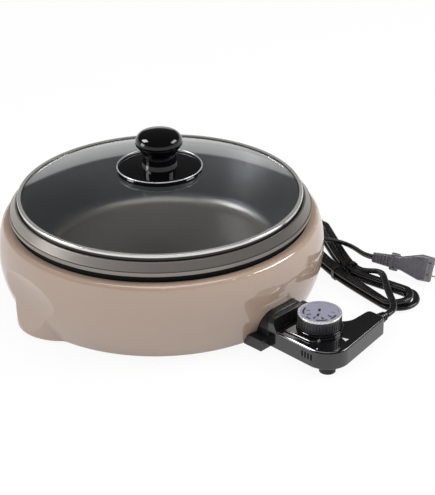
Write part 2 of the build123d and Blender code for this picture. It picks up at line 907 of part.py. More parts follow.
# Control case, upper half: deck, hood over the socket, raised panel, side grille and screw bosses
with BuildPart() as controller_upper:
    with BuildSketch(Plane.XY.offset(parting_height)):
        case_outline()
    extrude(amount=deck_height - parting_height)
    fillet(controller_upper.faces().sort_by(Axis.Z)[-1].edges(), deck_round)
    with BuildSketch(Plane.YZ):
        outline(
            (-case_rear_y, parting_height),
            (-case_rear_y, hood_top),
            (-case_rear_y - hood_depth, hood_top),
            (-case_rear_y - hood_foot, deck_height - deck_round),
            (-case_rear_y - hood_foot, parting_height),
        )
    extrude(amount=case_rear_half_width, both=True)
    hood_edges = controller_upper.edges().filter_by(Axis.Y).group_by(Axis.Z)[-1]
    fillet(hood_edges, hood_round)
    with BuildSketch(Plane.XY.offset(deck_height - deck_round)):
        with BuildLine():
            FilletPolyline(
                (-panel_left, -panel_back_y),
                (-panel_left, -panel_front_y),
                (panel_right, -panel_front_y),
                (panel_right, -panel_back_y),
                radius=panel_corner,
            )
            Line((panel_right, -panel_back_y), (-panel_left, -panel_back_y))
        make_face()
        with Locations((dial_x, -dial_y)):
            Circle(collar_r)
    extrude(amount=deck_round + panel_rise)
    panel_face = controller_upper.faces().filter_by(Axis.Z).filter_by_position(
        Axis.Z, panel_top - fit_gap, panel_top + fit_gap
    )
    fillet(panel_face.edges(), panel_edge_round)
    with BuildSketch(Plane.XY.offset(parting_height)):
        case_outline(case_wall)
    extrude(amount=deck_height - parting_height - case_wall, mode=Mode.SUBTRACT)
    with BuildSketch(Plane.XZ.offset(case_rear_y + case_wall)):
        arch(hood_cavity_half_width, parting_height, hood_top - case_wall, hood_round)
    extrude(amount=hood_depth - case_wall, mode=Mode.SUBTRACT)
    with BuildSketch(Plane.XZ.offset(case_rear_y)):
        for side in (-1, 1):
            with Locations((side * terminal_half_spacing, terminal_height)):
                Circle(pin_r + fit_gap + sleeve_wall + fit_gap)
        with Locations((0, probe_height)):
            Circle(probe_r + fit_gap)
    extrude(amount=case_wall, mode=Mode.SUBTRACT)
    with BuildSketch(Plane.YZ.offset(-case_left + case_wall + grille_slot_width)):
        for slot in range(grille_slots):
            with Locations((-grille_y + (slot - (grille_slots - 1) / 2) * grille_pitch, grille_height)):
                SlotOverall(grille_slot_height, grille_slot_width, rotation=90)
    extrude(amount=-case_wall - grille_slot_width - overrun, mode=Mode.SUBTRACT)
    with BuildSketch(Plane.YZ.offset(tail_reach - case_wall - relief_flange)):
        with Locations((-tail_y, relief_height)):
            Circle(relief_neck_r + seat_gap)
    extrude(amount=case_wall + relief_flange + overrun, mode=Mode.SUBTRACT)
    for spot in case_screw_spots:
        with BuildSketch(Plane((*spot, parting_height))):
            Circle(case_boss_r)
        extrude(amount=deck_height - case_wall - parting_height)
        with BuildSketch(Plane((*spot, parting_height))):
            Circle(case_screw_r + fit_gap)
        extrude(amount=case_screw_bite + fit_gap, mode=Mode.SUBTRACT)
    with BuildSketch(Plane((dial_x, -dial_y, deck_height - case_wall - overrun))):
        Circle(dial_shaft_r + seat_gap)
    extrude(amount=case_wall + panel_rise + 2 * overrun, mode=Mode.SUBTRACT)
save(controller_upper, "controller_upper")

# Control case, lower half: a shallow tray
with BuildPart() as controller_lower:
    with BuildSketch(Plane.XY.offset(case_bottom)):
        case_outline()
    extrude(amount=parting_height - case_bottom)
    fillet(controller_lower.faces().sort_by(Axis.Z)[0].edges(), case_under_round)
    with BuildSketch(Plane.XY.offset(case_bottom + case_wall)):
        case_outline(case_wall)
    extrude(amount=parting_height - case_bottom, mode=Mode.SUBTRACT)
    for spot in case_screw_spots:
        with BuildSketch(Plane((*spot, case_bottom + case_wall / 2))):
            Circle(case_boss_r)
        extrude(amount=parting_height - case_bottom - case_wall / 2)
        with BuildSketch(Plane((*spot, case_bottom))):
            Circle(case_screw_r + fit_gap)
        extrude(amount=parting_height - case_bottom, mode=Mode.SUBTRACT)
        with BuildSketch(Plane((*spot, case_bottom))):
            Circle(case_screw_head_r + seat_gap)
        extrude(amount=case_screw_head, mode=Mode.SUBTRACT)
save(controller_lower, "controller_lower")

with BuildPart() as controller_screws:
    for spot in case_screw_spots:
        with BuildSketch(Plane((*spot, case_bottom))):
            Circle(case_screw_head_r)
        extrude(amount=case_screw_head)
        with BuildSketch(Plane((*spot, case_bottom))):
            Circle(case_screw_r)
        extrude(amount=parting_height - case_bottom + case_screw_bite)
save(controller_screws, "controller_screws")

with BuildPart() as controller_foot:
    with BuildSketch(Plane((*case_foot_spot, 0))):
        Circle(case_foot_r)
    extrude(amount=case_bottom)
save(controller_foot, "controller_foot")

# Contact carrier with its two sleeves, the probe and the thermostat
with BuildPart() as contact_carrier:
    with BuildSketch(Plane.XZ.offset(case_rear_y - carrier_reach)):
        with Locations((0, (carrier_low + carrier_high) / 2)):
            RectangleRounded(2 * carrier_half_width, carrier_high - carrier_low, carrier_corner)
        for side in (-1, 1):
            with Locations((side * terminal_half_spacing, terminal_height)):
                Circle(pin_r + fit_gap + sleeve_wall + fit_gap, mode=Mode.SUBTRACT)
        with Locations((0, probe_height)):
            Circle(probe_r + fit_gap, mode=Mode.SUBTRACT)
    extrude(amount=carrier_reach)
save(contact_carrier, "contact_carrier")

with BuildPart() as contact_sleeves:
    with BuildSketch(Plane.XZ.offset(case_rear_y - sleeve_reach)):
        for side in (-1, 1):
            with Locations((side * terminal_half_spacing, terminal_height)):
                Circle(pin_r + fit_gap + sleeve_wall)
                Circle(pin_r + fit_gap, mode=Mode.SUBTRACT)
    extrude(amount=sleeve_reach + sleeve_tail)
save(contact_sleeves, "contact_sleeves")

with BuildPart() as probe:
    with BuildSketch(Plane.XZ.offset(probe_tip_y)):
        with Locations((0, probe_height)):
            Circle(probe_r)
    extrude(amount=probe_tail_y - probe_tip_y)
    fillet(probe.faces().sort_by(Axis.Y)[-1].edges(), probe_r / 2)
save(probe, "probe")

with BuildPart() as thermostat:
    with BuildSketch(Plane((dial_x, -dial_y, thermostat_low))):
        Rectangle(thermostat_length, thermostat_width)
    extrude(amount=thermostat_height)
    with BuildSketch(Plane((dial_x, -dial_y, thermostat_low + thermostat_height - dial_shaft_depth))):
        Circle(dial_shaft_r + fit_gap)
    extrude(amount=dial_shaft_depth, mode=Mode.SUBTRACT)
save(thermostat, "thermostat")

# Dial on its shaft, with a bright ring, a marked face and a fixed collar below
collar_low = panel_top
dial_low = collar_low + collar_rise + dial_gap
dial_top = dial_low + dial_height
dial_spot = (dial_x, -dial_y)
with BuildPart() as dial_collar:
    with BuildSketch(Plane((*dial_spot, collar_low))):
        Circle(collar_r)
        Circle(collar_r - collar_width, mode=Mode.SUBTRACT)
    extrude(amount=collar_rise)
    fillet(dial_collar.faces().sort_by(Axis.Z)[-1].edges(), collar_round)
save(dial_collar, "dial_collar")

with BuildPart() as dial_knob:
    with BuildSketch(Plane((*dial_spot, dial_low))):
        Circle(dial_r)
    extrude(amount=dial_height)
    with BuildSketch(Plane((*dial_spot, dial_low))):
        Circle(dial_r - dial_shell)
        Circle(dial_hub_r, mode=Mode.SUBTRACT)
    extrude(amount=dial_height - dial_crown, mode=Mode.SUBTRACT)
    with BuildSketch(Plane((*dial_spot, dial_low))):
        Circle(dial_shaft_r + fit_gap)
    extrude(amount=dial_height - dial_shaft_cap - dial_ring_depth, mode=Mode.SUBTRACT)
    with BuildSketch(Plane((*dial_spot, dial_top - dial_ring_depth))):
        Circle(dial_r)
    extrude(amount=dial_ring_depth, mode=Mode.SUBTRACT)
    with BuildSketch(Plane((*dial_spot, dial_low + dial_flute_low))):
        with PolarLocations(dial_r + dial_flute_r / 3, dial_flutes):
            Circle(dial_flute_r)
    extrude(amount=dial_height - dial_flute_low - dial_brow, mode=Mode.SUBTRACT)
save(dial_knob, "dial_knob")

with BuildPart() as dial_ring:
    with BuildSketch(Plane((*dial_spot, dial_top - dial_ring_depth))):
        Circle(dial_r)
        Circle(dial_r - dial_ring_width, mode=Mode.SUBTRACT)
    extrude(amount=dial_ring_depth)
    fillet(dial_ring.faces().sort_by(Axis.Z)[-1].edges().sort_by(SortBy.RADIUS)[-1], dial_ring_depth / 2)
save(dial_ring, "dial_ring")

with BuildPart() as dial_face:
    with BuildSketch(Plane((*dial_spot, dial_top - dial_ring_depth))):
        Circle(dial_r - dial_ring_width - fit_gap)
    extrude(amount=dial_ring_depth - dial_face_drop)
save(dial_face, "dial_face")

with BuildPart() as dial_shaft:
    shaft_low = thermostat_low + thermostat_height - dial_shaft_depth + fit_gap
    with BuildSketch(Plane((*dial_spot, shaft_low))):
        Circle(dial_shaft_r)
    extrude(amount=dial_top - dial_ring_depth - dial_shaft_cap - fit_gap - shaft_low)
save(dial_shaft, "dial_shaft")

# Strain relief: a flange inside the tail, a neck through its wall and a ribbed tapering boot outside
wall_inside = tail_reach - case_wall
with BuildPart() as strain_relief:
    relief_plane = Plane((0, -tail_y, relief_height), x_dir=(1, 0, 0), z_dir=(0, -1, 0))
    rib_pitch = relief_outer_length / relief_ribs
    boot = []
    for rib in range(relief_ribs):
        share = rib / relief_ribs
        rib_r = relief_root_r + (relief_tip_r - relief_root_r) * share
        rib_start = tail_reach + rib * rib_pitch
        rib_end = rib_start + rib_pitch / 2
        groove_r = rib_r - relief_groove
        boot += [(rib_start, rib_r), (rib_end, rib_r)]
        boot += [(rib_end, groove_r), (rib_start + rib_pitch, groove_r)]
    with BuildSketch(relief_plane):
        outline(
            (wall_inside - relief_inner_length, 0),
            (wall_inside - relief_inner_length, relief_neck_r),
            (wall_inside - relief_flange, relief_neck_r),
            (wall_inside - relief_flange, relief_flange_r),
            (wall_inside, relief_flange_r),
            (wall_inside, relief_neck_r),
            (tail_reach, relief_neck_r),
            *boot,
            (tail_reach + relief_outer_length, 0),
        )
    revolve(axis=Axis((0, -tail_y, relief_height), (1, 0, 0)))
save(strain_relief, "strain_relief")


def route_radii(route):
    """Largest even bends of a cord's route, one for each corner."""
    radii = []
    for before, corner, after in zip(route, route[1:], route[2:]):
        turn = radians((corner - before).get_angle(after - corner))
        run = min((corner - before).length, (after - corner).length)
        radii.append(corner_share * run / tan(turn / 2))
    return radii


def report_tube(name, builder, path, radii):
    """Print a tube's tightest bend and how its volume compares with section times length."""
    share = builder.part.volume / (pi * cord_r**2 * path.length)
    print(f"{name}: length {path.length:.1f}, least bend {min(radii):.1f}, volume share {share:.4f}")


# Hank: strands run between a front, a waist and a back station and fold round at the two ends
last_strand = hank_strands - 1
middle_strand = last_strand // 2
hank_high = hank_low + hank_layer
back_heading = Vector(cos(radians(hank_back_angle)), sin(radians(hank_back_angle)))
front_station = (Vector(*hank_front), Vector(0, 1), hank_fold_outer, hank_fold_step, hank_low)
waist_heading = Vector(cos(radians(hank_waist_angle)), sin(radians(hank_waist_angle)))
waist_station = (
    Vector(*hank_waist), waist_heading, hank_waist_outer, hank_waist_step, (hank_low + hank_high) / 2
)
back_station = (Vector(*hank_back), back_heading, hank_fold_outer, hank_fold_step, hank_high)


def strand_spot(station, strand):
    """Where a strand passes a station: sides alternate, and the spiral goes in and then out again."""
    centre, heading, outer, step, middle_height = station
    turns_in = min(strand, last_strand - strand) // 2
    side = 1 if strand % 2 == 0 else -1
    aside = Vector(heading.Y, -heading.X) * (side * (outer - step * turns_in))
    height = middle_height
    if strand < middle_strand:
        height = hank_high
    if strand > middle_strand:
        height = hank_low
    return centre + aside + Vector(0, 0, height)


def two_arcs(start, start_heading, end, end_heading):
    """Join two places and headings with a pair of tangent arcs."""
    chord = end - start
    both = start_heading + end_heading
    spread = 2 * (1 - start_heading.dot(end_heading))
    along = chord.dot(both)
    if spread * chord.dot(chord) < along**2 * parallel_share:
        reach = chord.dot(chord) / (2 * along)
    else:
        reach = (sqrt(along**2 + spread * chord.dot(chord)) - along) / spread
    middle = (start + start_heading * reach + end - end_heading * reach) * 0.5
    first = TangentArc(start, middle, tangent=start_heading)
    TangentArc(middle, end, tangent=first % 1)


def fold(start, end, heading):
    """Half circle from one strand to the next at an end of the hank."""
    radius = (end - start).length / 2
    ThreePointArc(start, (start + end) * 0.5 + heading * radius, end)


hank_start = strand_spot(waist_station, 0)
hank_end = strand_spot(back_station, last_strand) + back_heading * (2 * cord_r)
with BuildPart() as cord_hank:
    with BuildLine() as hank_path:
        straight_end = hank_start + waist_heading * (2 * cord_r)
        Line(hank_start, straight_end)
        two_arcs(straight_end, waist_heading, strand_spot(back_station, 0), back_heading)
        for strand in range(1, hank_strands):
            order = (front_station, waist_station, back_station)
            facing = 1
            if strand % 2:
                order = order[::-1]
                facing = -1
            entry = strand_spot(order[0], strand)
            fold(strand_spot(order[0], strand - 1), entry, order[0][1] * -facing)
            for here, there in zip(order, order[1:]):
                two_arcs(
                    strand_spot(here, strand),
                    here[1] * facing,
                    strand_spot(there, strand),
                    there[1] * facing,
                )
        Line(strand_spot(back_station, last_strand), hank_end)
    with BuildSketch(Plane(origin=hank_start, z_dir=waist_heading)):
        Circle(cord_r)
    sweep(path=hank_path.wire())
save(cord_hank, "cord_hank")

# Lead from the strain relief to the hank, and from the hank to the plug
relief_tip = Vector(tail_reach + relief_outer_length, -tail_y, relief_height)
lead_route = [
    relief_tip,
    relief_tip + Vector(first_run),
    *(Vector(*point) for point in lead_points),
    hank_start - waist_heading * first_run,
    hank_start,
]
with BuildPart() as cord_lead:
    with BuildLine() as lead_path:
        FilletPolyline(*lead_route, radius=route_radii(lead_route))
    with BuildSketch(Plane(origin=relief_tip, z_dir=lead_path.line % 0)):
        Circle(cord_r)
    sweep(path=lead_path.wire())
save(cord_lead, "cord_lead")

plug_origin = Vector(*plug_rear)
plug_axis = Vector(*plug_ahead).normalized()
plug_lead_route = [
    hank_end,
    hank_end + back_heading * first_run,
    *(Vector(*point) for point in plug_lead_points),
    plug_origin - plug_axis * last_run,
    plug_origin,
]
with BuildPart() as cord_plug_lead:
    with BuildLine() as plug_lead_path:
        FilletPolyline(*plug_lead_route, radius=route_radii(plug_lead_route))
    with BuildSketch(Plane(origin=hank_end, z_dir=back_heading)):
        Circle(cord_r)
    sweep(path=plug_lead_path.wire())
save(cord_plug_lead, "cord_plug_lead")

report_tube("lead", cord_lead, lead_path.wire(), route_radii(lead_route))
report_tube("plug lead", cord_plug_lead, plug_lead_path.wire(), route_radii(plug_lead_route))
report_tube("hank", cord_hank, hank_path.wire(), [hank_fold_outer - hank_fold_step])


def stations(path):
    """Evenly spaced points along a path."""
    count = int(path.length / hank_probe_step)
    return [path @ (step / count) for step in range(count + 1)]


def least_gap(first, second):
    """Least room between the surfaces of two tubes."""
    return min((one - other).length for one in first for other in second) - 2 * cord_r


hank_points = stations(hank_path.wire())
lead_line = stations(lead_path.wire())
plug_lead_line = stations(plug_lead_path.wire())
apart = int(4 * pi * cord_r / hank_probe_step)
self_gap = min(
    (one - other).length - 2 * cord_r
    for number, one in enumerate(hank_points)
    for other in hank_points[number + apart:]
)
joint = int(4 * cord_r / hank_probe_step)
print(f"least gap in the hank {self_gap:.2f}")
print(f"hank to lead {least_gap(hank_points[joint:], lead_line):.2f}")
print(f"hank to plug lead {least_gap(hank_points[:-joint], plug_lead_line):.2f}")
print(f"lead to plug lead {least_gap(lead_line, plug_lead_line):.2f}")
cord_points = hank_points + lead_line + plug_lead_line
housing_gap = min(
    Vector(spot.X, spot.Y).length - flank_r(max(spot.Z, housing_bottom)) - cord_r for spot in cord_points
)
print(f"cord to housing {housing_gap:.2f}")

# Tie round the waist of the hank, with two ears
tie_half_width = hank_waist_outer + cord_r + tie_play
tie_low = hank_low - cord_r - tie_play
tie_high = hank_high + cord_r + tie_play
tie_plane = Plane(Vector(*hank_waist), x_dir=(-waist_heading.Y, waist_heading.X, 0), z_dir=waist_heading)
with BuildPart() as hank_tie:
    with BuildSketch(tie_plane.offset(-tie_width / 2)):
        with Locations((0, (tie_low + tie_high) / 2)):
            RectangleRounded(
                2 * (tie_half_width + tie_sheet), tie_high - tie_low + 2 * tie_sheet, tie_corner + tie_sheet
            )
            RectangleRounded(2 * tie_half_width, tie_high - tie_low, tie_corner, mode=Mode.SUBTRACT)
        for side in (-1, 1):
            ear_root = side * tie_ear_width / 2
            outline(
                (ear_root, tie_high + tie_sheet / 2),
                (ear_root + side * tie_ear_width, tie_high + tie_sheet / 2),
                (ear_root + side * tie_ear_spread, tie_high + tie_ear_height),
                (ear_root + side * (tie_ear_spread - tie_ear_width / 2), tie_high + tie_ear_height),
            )
    extrude(amount=tie_width)
save(hank_tie, "hank_tie")

# Plug: ribbed relief, collar, waisted head, and two flat blades
level = plug_axis.cross(Vector(0, 0, 1)).normalized()
upright = level.cross(plug_axis)
plug_wide = upright * cos(radians(plug_lean)) - level * sin(radians(plug_lean))
plug_plane = Plane(origin=plug_origin, x_dir=plug_wide, z_dir=plug_axis)
with BuildPart() as plug_body:
    rib_length = plug_relief_length / plug_relief_ribs
    for rib in range(plug_relief_ribs):
        grow = plug_relief_flare * rib / plug_relief_ribs
        rib_width = plug_relief_width + grow
        rib_thickness = plug_relief_thickness + grow / 2
        with BuildSketch(plug_plane.offset(rib * rib_length)):
            RectangleRounded(rib_width, rib_thickness, plug_corner)
        extrude(amount=rib_length / 2)
        with BuildSketch(plug_plane.offset(rib * rib_length + rib_length / 2)):
            RectangleRounded(
                rib_width - plug_relief_groove, rib_thickness - plug_relief_groove, plug_corner / 2
            )
        extrude(amount=rib_length / 2)
    with BuildSketch(plug_plane.offset(plug_relief_length)):
        RectangleRounded(
            plug_relief_width + plug_relief_flare, plug_relief_thickness + plug_relief_flare, plug_corner
        )
    extrude(amount=plug_collar_at - plug_relief_length)
    with BuildSketch(plug_plane.offset(plug_collar_at)):
        RectangleRounded(plug_collar_width, plug_collar_thickness, plug_corner)
    extrude(amount=plug_collar)
    with BuildSketch(plug_plane.offset(plug_collar_at + plug_collar)):
        RectangleRounded(plug_neck_width, plug_neck_thickness, plug_corner)
    with BuildSketch(plug_plane.offset(plug_neck_at)):
        RectangleRounded(plug_neck_width, plug_neck_thickness, plug_corner)
    with BuildSketch(plug_plane.offset(plug_head_at)):
        RectangleRounded(plug_head_width, plug_head_thickness, plug_corner)
    with BuildSketch(plug_plane.offset(plug_length)):
        RectangleRounded(plug_face_width, plug_head_thickness, plug_corner)
    loft(ruled=True)
    for face_dir in (plug_axis.cross(plug_wide), plug_wide.cross(plug_axis)):
        thumb_plane = Plane(plug_origin + plug_axis * plug_thumb_at, x_dir=plug_axis, z_dir=face_dir)
        with BuildSketch(thumb_plane.offset(plug_head_thickness / 2 - plug_thumb_depth)):
            RectangleRounded(plug_thumb_length, plug_thumb_width, plug_corner)
        extrude(amount=overrun, mode=Mode.SUBTRACT)
save(plug_body, "plug_body")

for number, side in enumerate((-1, 1), 1):
    with BuildPart() as blade:
        with BuildSketch(plug_plane.offset(plug_length)):
            with Locations((side * blade_half_spacing, 0)):
                Rectangle(blade_thickness, blade_width)
        extrude(amount=blade_length)
    save(blade, f"plug_blade_{number}")
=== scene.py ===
from math import acos, cos, pi, radians, sin

import bpy
from mathutils import Matrix, Vector


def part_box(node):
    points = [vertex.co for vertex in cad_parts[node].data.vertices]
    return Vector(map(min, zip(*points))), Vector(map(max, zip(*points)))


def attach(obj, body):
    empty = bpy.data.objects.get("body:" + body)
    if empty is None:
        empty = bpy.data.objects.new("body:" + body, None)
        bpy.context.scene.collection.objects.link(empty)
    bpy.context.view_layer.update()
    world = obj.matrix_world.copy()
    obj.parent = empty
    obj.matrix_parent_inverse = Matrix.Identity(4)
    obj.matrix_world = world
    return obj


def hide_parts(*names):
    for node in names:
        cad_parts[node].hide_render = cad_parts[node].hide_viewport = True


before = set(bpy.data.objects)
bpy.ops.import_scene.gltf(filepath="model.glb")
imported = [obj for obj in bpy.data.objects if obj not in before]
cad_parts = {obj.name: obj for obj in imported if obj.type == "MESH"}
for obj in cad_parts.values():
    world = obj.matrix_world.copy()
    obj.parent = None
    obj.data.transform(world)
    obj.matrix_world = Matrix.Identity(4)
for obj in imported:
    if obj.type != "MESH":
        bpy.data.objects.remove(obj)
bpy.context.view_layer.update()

# The looks of an electric grill pot, in metres and in the frame of its solids: Z is up, the pot's axis
# is the Z axis and the control is on the -Y side.

scene = bpy.context.scene
up = Vector((0, 0, 1))

# Camera, with its lens and middle in pixels of the picture
image_width = 435
image_height = 495
focal_pixels = 1444
middle_x = 217
middle_y = 226.3
sensor_width = 36
view_target = Vector((0, 0, 0.065))
view_distance = 1.5
view_azimuth = radians(-43)
view_elevation = radians(26.55)
view_yaw = radians(2.2)
view_roll = radians(-1.81)

# Light
ambient_strength = 0.6
backdrop_low = sin(radians(9))
backdrop_high = sin(radians(12))
ceiling_level = 0.08
floor_size = 14
floor_level = 0.82
floor_glow = 0.92
# Each lamp: name, place, size, watts, whether it lights matt surfaces, whether it is mirrored, and the solids
# that it leaves out (EXCLUDE) or is there for alone (INCLUDE)
lamps = (
    ("key_lamp", (-1.3, 0.15, 1.1), (0.8, 0.8), 8, True, False, "EXCLUDE", ()),
    ("fill_lamp", (1.1, -1.0, 1.05), (0.9, 0.6), 16, True, True, "EXCLUDE", ("lid_glass", "pan")),
    ("top_lamp", (0.1, 0.0, 1.7), (1.2, 1.2), 10, True, True, "EXCLUDE",
     ("lid_glass", "knob", "knob_disc", "dial_collar")),
    ("edge_lamp", (-1.25, 1.0, 0.35), (0.6, 0.65), 9, False, True, "EXCLUDE", ("lid_glass", "housing")),
    ("back_lamp", (-0.6, 0.85, 1.15), (0.6, 0.6), 18, False, True, "EXCLUDE", ("lid_glass", "housing")),
    ("deck_lamp", (-0.2, 0.82, 1.25), (0.9, 0.9), 90, False, True, "INCLUDE",
     ("controller_upper", "controller_lower", "dial_collar")),
)
lamp_target = Vector((0, 0, 0.08))

# Pan: heights between which its coat turns from the floor's colour to the wall's, and where the brim's colour
# sets in, from its edge
pan_wall_low = 0.0395
pan_wall_high = 0.046
brim_start = 0.0115
brim_end = 0.009

# Steel band of the lid, with painted shade: it is bright at the top and painted dark from a little below it,
# where the band lies in shade
lid_painted_shade_start = 0.0018
lid_painted_shade_full = 0.003

# Painted highlight: a thin bright metal line round the plate under the lid's knob, standing in for the
# highlight on the plate's edge
highlight_r = 0.00055
highlight_inset = 0.0004
highlight_drop = 0.0004
highlight_steps = 128
highlight_corners = 8

# Printed marks: angles are those of the picture, and places on the control are in the frame
print_lift = 0.00008
figure_size = 0.0056
figure_swell = 0.00022
figure_share = 0.62
figure_angles = (160, 199, 238, 277, 315, 354)
arc_share = 0.85
arc_width = 0.0018
arc_steps = 12
arc_spans = ((143, 187), (209, 228), (250, 290), (303, 335))
bar_places = ((0.0, 0.0041), (-0.0024, -0.0052))
bar_size = (0.0022, 0.0052)
bar_angle = 72
pointer_tip = (0.008, -0.2372)
pointer_base = (0.008, -0.2442)
pointer_half = 0.0026
dot_place = (-0.0236, -0.2336)
dot_r = 0.0009
dot_corners = 16
probe_height = 1.0

# Mains cord: the route of the solid cord, with a flat twin section
cord_width = 0.0073
cord_thickness = 0.0044
lobe_points = 11
route_steps = 6
relief_tip = Vector((0.081, -0.2324, 0.018))
first_run = 0.011
last_run = 0.012
lead_points = (
    (0.102, -0.227, 0.0184),
    (0.1115, -0.2165, 0.0187),
    (0.124, -0.2015, 0.0188),
    (0.138, -0.1865, 0.0188),
    (0.148, -0.176, 0.0182),
    (0.1513, -0.166, 0.016),
    (0.1496, -0.1558, 0.013),
)
plug_lead_points = (
    (0.221, -0.0253, 0.0052),
    (0.2173, -0.0087, 0.009),
    (0.2028, 0.0003, 0.0134),
    (0.1863, -0.0036, 0.0176),
    (0.1761, -0.0178, 0.0183),
    (0.1666, -0.0398, 0.0183),
    (0.1636, -0.062, 0.0183),
    (0.1666, -0.082, 0.0183),
    (0.1735, -0.097, 0.0182),
    (0.1805, -0.1105, 0.0135),
)
plug_rear = Vector((0.1835, -0.137, 0.0092))
plug_axis = Vector((0.10, -0.988, 0.11)).normalized()
plug_turn = radians(60)
plug_turn_length = 0.09
hank_strands = 7
hank_low = 0.0042
hank_layer = 0.0067
fold_outer = 0.0215
fold_step = 0.0085
waist_outer = 0.0111
waist_step = 0.0074
fold_corners = 4
hank_tail = 0.006
hank_front = (Vector((0.136, -0.203, 0)), radians(90), 0)
hank_waist = (Vector((0.141, -0.131, 0)), radians(72), 0.5)
hank_back = (Vector((0.184, -0.044, 0)), radians(58), 1)

# Noise textures run mostly between these two values
noise_low = 0.3
noise_high = 0.7

# Sockets of a Mix node that mixes colours
mix_share = 0
mix_first = 6
mix_second = 7
mix_result = 2


def make_camera():
    """Camera of the photograph, turned and rolled a little from the line to its target."""
    right = Vector((cos(view_azimuth), sin(view_azimuth), 0))
    away = Vector((-sin(view_azimuth), cos(view_azimuth), 0))
    forward = away * cos(view_elevation) - up * sin(view_elevation)
    upward = away * sin(view_elevation) + up * cos(view_elevation)
    ahead = forward * cos(view_yaw) + right * sin(view_yaw)
    aside = right * cos(view_yaw) - forward * sin(view_yaw)
    image_right = aside * cos(view_roll) + upward * sin(view_roll)
    image_up = upward * cos(view_roll) - aside * sin(view_roll)
    lens = bpy.data.cameras.new("camera")
    lens.sensor_width = sensor_width
    lens.lens = focal_pixels / image_height * sensor_width
    lens.shift_x = (image_width / 2 - middle_x) / image_height
    lens.shift_y = (middle_y - image_height / 2) / image_height
    camera = bpy.data.objects.new("camera", lens)
    turn = Matrix((image_right, image_up, -ahead)).transposed().to_4x4()
    camera.matrix_world = Matrix.Translation(view_target - forward * view_distance) @ turn
    scene.collection.objects.link(camera)
    scene.camera = camera


def strand_spot(station, strand):
    """Where a strand of the hank passes a station: sides alternate, and the spiral goes in and out."""
    centre, angle, layer = station
    last = hank_strands - 1
    outer, step = (waist_outer, waist_step) if station is hank_waist else (fold_outer, fold_step)
    reach = outer - step * (min(strand, last - strand) // 2)
    side = 1 if strand % 2 == 0 else -1
    if strand != last // 2:
        layer = 1 if strand < last // 2 else 0
    aside = Vector((sin(angle), -cos(angle), 0))
    return centre + aside * (side * reach) + up * (hank_low + hank_layer * layer)


def heading(station):
    """Direction from the front of the hank to its back, at a station."""
    return Vector((cos(station[1]), sin(station[1]), 0))


def strand_points(strand):
    """Route points of one strand, with a short straight run through the tie."""
    onward = 1 if strand % 2 == 0 else -1
    waist = strand_spot(hank_waist, strand)
    run = heading(hank_waist) * (first_run * onward)
    ends = [strand_spot(hank_front, strand), strand_spot(hank_back, strand)][::onward]
    return [ends[0], waist - run, waist + run, ends[1]]


def fold_points(start, end, outward):
    """Corners of a half polygon round a fold, from one strand to the next."""
    middle = (start + end) / 2
    aside = (start - end) / 2
    flat_aside = Vector((aside.x, aside.y, 0))
    corner_share = 1 / cos(pi / (2 * fold_corners))
    corners = []
    for corner in range(fold_corners):
        angle = pi * (corner + 0.5) / fold_corners
        level = up * (aside.z * cos(angle))
        across = flat_aside * (cos(angle) * corner_share)
        corners.append(middle + across + level + outward * (flat_aside.length * sin(angle) * corner_share))
    return corners


def cord_route():
    """Control points of the whole cord, from the strain relief through the hank to the plug."""
    route = [relief_tip, relief_tip + Vector((first_run, 0, 0))]
    route += [Vector(point) for point in lead_points]
    route += strand_points(0)[1:]
    for strand in range(1, hank_strands):
        station, outward = (hank_back, 1) if strand % 2 else (hank_front, -1)
        start, end = strand_spot(station, strand - 1), strand_spot(station, strand)
        route += fold_points(start, end, heading(station) * outward)
        route += strand_points(strand)
    hank_end = route[-1] + heading(hank_back) * hank_tail
    route += [hank_end, hank_end + heading(hank_back) * first_run]
    route += [Vector(point) for point in plug_lead_points]
    return route + [plug_rear - plug_axis * last_run, plug_rear]


def curve_shape(curve):
    """Points and faces of a curve or a text, which is then removed."""
    holder = bpy.data.objects.new(curve.name, curve)
    mesh = bpy.data.meshes.new_from_object(holder)
    points = [vertex.co.copy() for vertex in mesh.vertices]
    faces = [tuple(polygon.vertices) for polygon in mesh.polygons]
    bpy.data.objects.remove(holder)
    bpy.data.curves.remove(curve)
    bpy.data.meshes.remove(mesh)
    return points, faces


def smooth_line(points):
    """Points read from the smooth spline that has these control points."""
    curve = bpy.data.curves.new("route", "CURVE")
    curve.dimensions = "3D"
    curve.resolution_u = route_steps
    spline = curve.splines.new("NURBS")
    spline.points.add(len(points) - 1)
    for place, point in zip(spline.points, points):
        place.co = (*point, 1)
    spline.order_u = 3
    spline.use_endpoint_u = True
    return curve_shape(curve)[0]


def twin_section():
    """Outline of a flat twin cord: two round lobes that run together in a groove."""
    lobe_r = cord_thickness / 2
    offset = cord_width / 2 - lobe_r
    reach = pi - acos(offset / lobe_r)
    section = []
    for side in (1, -1):
        for step in range(lobe_points):
            angle = reach * (2 * step / (lobe_points - 1) - 1)
            section.append((side * (offset + lobe_r * cos(angle)), side * lobe_r * sin(angle)))
    return section


def new_piece(name, vertices, faces, body, material):
    """A shown mesh that rides on a body."""
    mesh = bpy.data.meshes.new(name)
    mesh.from_pydata(vertices, [], faces)
    mesh.materials.append(material)
    piece = bpy.data.objects.new(name, mesh)
    scene.collection.objects.link(piece)
    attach(piece, body)
    return piece


